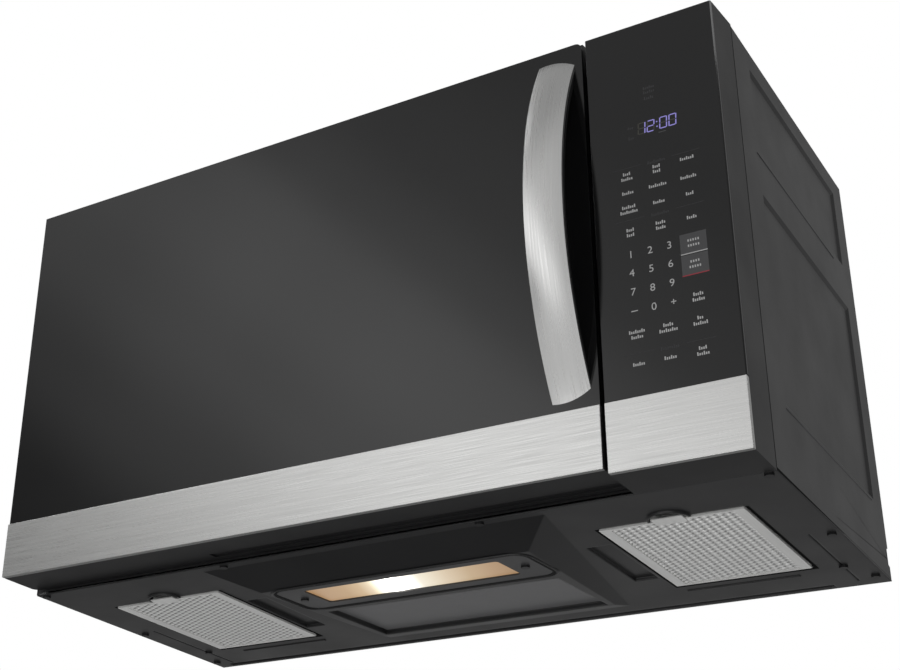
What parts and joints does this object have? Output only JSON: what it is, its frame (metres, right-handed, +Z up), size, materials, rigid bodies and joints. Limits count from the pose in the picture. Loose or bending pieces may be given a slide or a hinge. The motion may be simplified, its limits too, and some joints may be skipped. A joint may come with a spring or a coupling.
{
  "type": "over-the-range microwave",
  "caption": "Over-the-range microwave with a side-hinged glass door, bow handle, touch panel, turntable, and a hood with grease filters and a cooktop lamp underneath.",
  "frame": {"origin": "centre of the rear face, in the plane that hangs against the wall, at the middle of the cabinet's height", "axes": "+X to the viewer's right along the width, -Y out of the front of the door, +Y into the wall, +Z up"},
  "size_m": [0.759, 0.4201, 0.4351],
  "materials": {
    "cabinet_paint": "satin black paint, fine texture",
    "rear_steel": "zinc-coated steel",
    "black_plastic": "fine-grained black moulding",
    "black_glass": "black-backed tempered glass",
    "brushed_steel": "fine horizontal brushing",
    "filter_aluminium": "bright rolled mesh and frame",
    "lens_glass": "frosted, lit from behind",
    "bulb_glass": "frosted bulb",
    "cavity_enamel": "speckled enamel",
    "clear_glass": "clear glass",
    "mica": "mica sheet",
    "motor_steel": "zinc-plated steel and laminations",
    "screw_steel": "black oxide",
    "white_plastic": "plain moulding",
    "switch_plastic": "moulded switch case",
    "display_plastic": "smoked display window",
    "board": "circuit board",
    "charcoal": "carbon granules in a net",
    "grommet_rubber": "black rubber"
  },
  "bodies": {
    "root": {"cabinet_wrap": "cabinet_paint", "base_plate": "cabinet_paint", "front_frame": "cabinet_paint", "lamp_cover_plate": "cabinet_paint", "rear_panel": "rear_steel", "bay_floor": "rear_steel", "lamp_housing": "rear_steel", "waveguide": "rear_steel", "hinge_brackets": "rear_steel", "exhaust_collar": "rear_steel", "panel_housing": "black_plastic", "vent_grille": "black_plastic", "fan_shroud": "black_plastic", "panel_glass": "black_glass", "panel_trim": "brushed_steel", "lamp_lens": "lens_glass", "cooktop_lamp": "bulb_glass", "cavity_lamp": "bulb_glass", "oven_cavity": "cavity_enamel", "waveguide_cover": "mica", "turntable_motor": "motor_steel", "magnetron": "motor_steel", "fan_motor": "motor_steel", "blower_motor": "motor_steel", "hv_transformer": "motor_steel", "hv_capacitor": "motor_steel", "underside_screws": "screw_steel", "latch_board": "white_plastic", "blower_housing": "white_plastic", "interlock_switches": "switch_plastic", "display_module": "display_plastic", "control_board": "board", "charcoal_filter": "charcoal", "cord_grommet": "grommet_rubber"},
    "door": {"door_glass": "black_glass", "door_trim": "brushed_steel", "door_frame": "black_plastic", "door_bushes": "white_plastic", "door_screen": "cavity_enamel", "door_window": "clear_glass", "choke_cover": "black_plastic", "door_handle": "brushed_steel", "handle_back": "black_plastic"},
    "latch": {"latch_hooks": "white_plastic"},
    "coupler": {"turntable_coupler": "white_plastic"},
    "tray": {"glass_tray": "clear_glass"},
    "roller_ring": {"roller_ring": "white_plastic"},
    "roller_1": {"roller_1": "white_plastic"},
    "roller_2": {"roller_2": "white_plastic"},
    "roller_3": {"roller_3": "white_plastic"},
    "blower_rotor": {"blower_rotor": "white_plastic"},
    "fan_blade": {"fan_blade": "black_plastic"},
    "damper": {"damper_flap": "rear_steel"},
    "filter_left": {"filter_left_frame": "filter_aluminium", "filter_left_mesh": "filter_aluminium"},
    "filter_right": {"filter_right_frame": "filter_aluminium", "filter_right_mesh": "filter_aluminium"},
    "plunger_lower": {"switch_plunger_lower": "switch_plastic"},
    "plunger_upper": {"switch_plunger_upper": "switch_plastic"}
  },
  "joints": [
    {"name": "door_hinge", "type": "hinge", "parent": "root", "child": "door", "pos_m": [-0.3675, -0.341, 0], "axis": [0, 0, -1], "range_deg": [0, 105]},
    {"name": "latch_lift", "type": "slide", "parent": "door", "child": "latch", "axis": [0, 0, 1], "range_m": [0, 0.005], "stiffness_N_per_m": 400},
    {"name": "coupler_spin", "type": "hinge", "parent": "root", "child": "coupler", "pos_m": [-0.076, -0.1659, -0.15], "axis": [0, 0, 1], "continuous": true},
    {"name": "tray_lift", "type": "slide", "parent": "coupler", "child": "tray", "axis": [0, 0, 1], "range_m": [0, 0.03]},
    {"name": "ring_spin", "type": "hinge", "parent": "root", "child": "roller_ring", "pos_m": [-0.076, -0.1659, -0.1497], "axis": [0, 0, 1], "continuous": true},
    {"name": "roller_1_spin", "type": "hinge", "parent": "roller_ring", "child": "roller_1", "pos_m": [0.042, -0.1659, -0.1497], "axis": [1, 0, 0], "continuous": true},
    {"name": "roller_2_spin", "type": "hinge", "parent": "roller_ring", "child": "roller_2", "pos_m": [-0.135, -0.06371, -0.1497], "axis": [-0.5, 0.866, 0], "continuous": true},
    {"name": "roller_3_spin", "type": "hinge", "parent": "roller_ring", "child": "roller_3", "pos_m": [-0.135, -0.26809, -0.1497], "axis": [-0.5, -0.866, 0], "continuous": true},
    {"name": "blower_spin", "type": "hinge", "parent": "root", "child": "blower_rotor", "pos_m": [0, -0.078, 0.1425], "axis": [1, 0, 0], "continuous": true},
    {"name": "fan_spin", "type": "hinge", "parent": "root", "child": "fan_blade", "pos_m": [0.285, -0.057, -0.06], "axis": [0, 1, 0], "continuous": true},
    {"name": "damper_hinge", "type": "hinge", "parent": "root", "child": "damper", "pos_m": [0, -0.04, 0.199], "axis": [-1, 0, 0], "range_deg": [0, 75]},
    {"name": "filter_left_hinge", "type": "hinge", "parent": "root", "child": "filter_left", "pos_m": [-0.266, -0.081, -0.2075], "axis": [1, 0, 0], "range_deg": [0, 60]},
    {"name": "filter_right_hinge", "type": "hinge", "parent": "root", "child": "filter_right", "pos_m": [0.266, -0.081, -0.2075], "axis": [1, 0, 0], "range_deg": [0, 60]},
    {"name": "plunger_lower_slide", "type": "slide", "parent": "root", "child": "plunger_lower", "axis": [0, 1, 0], "range_m": [0, 0.0015], "stiffness_N_per_m": 150},
    {"name": "plunger_upper_slide", "type": "slide", "parent": "root", "child": "plunger_upper", "axis": [0, 1, 0], "range_m": [0, 0.0015], "stiffness_N_per_m": 150}
  ],
  "couplings": [
    {"joint": "ring_spin", "follows": "coupler_spin", "ratio": 0.5},
    {"joint": "roller_1_spin", "follows": "coupler_spin", "ratio": -7.375},
    {"joint": "roller_2_spin", "follows": "coupler_spin", "ratio": -7.375},
    {"joint": "roller_3_spin", "follows": "coupler_spin", "ratio": -7.375}
  ]
}
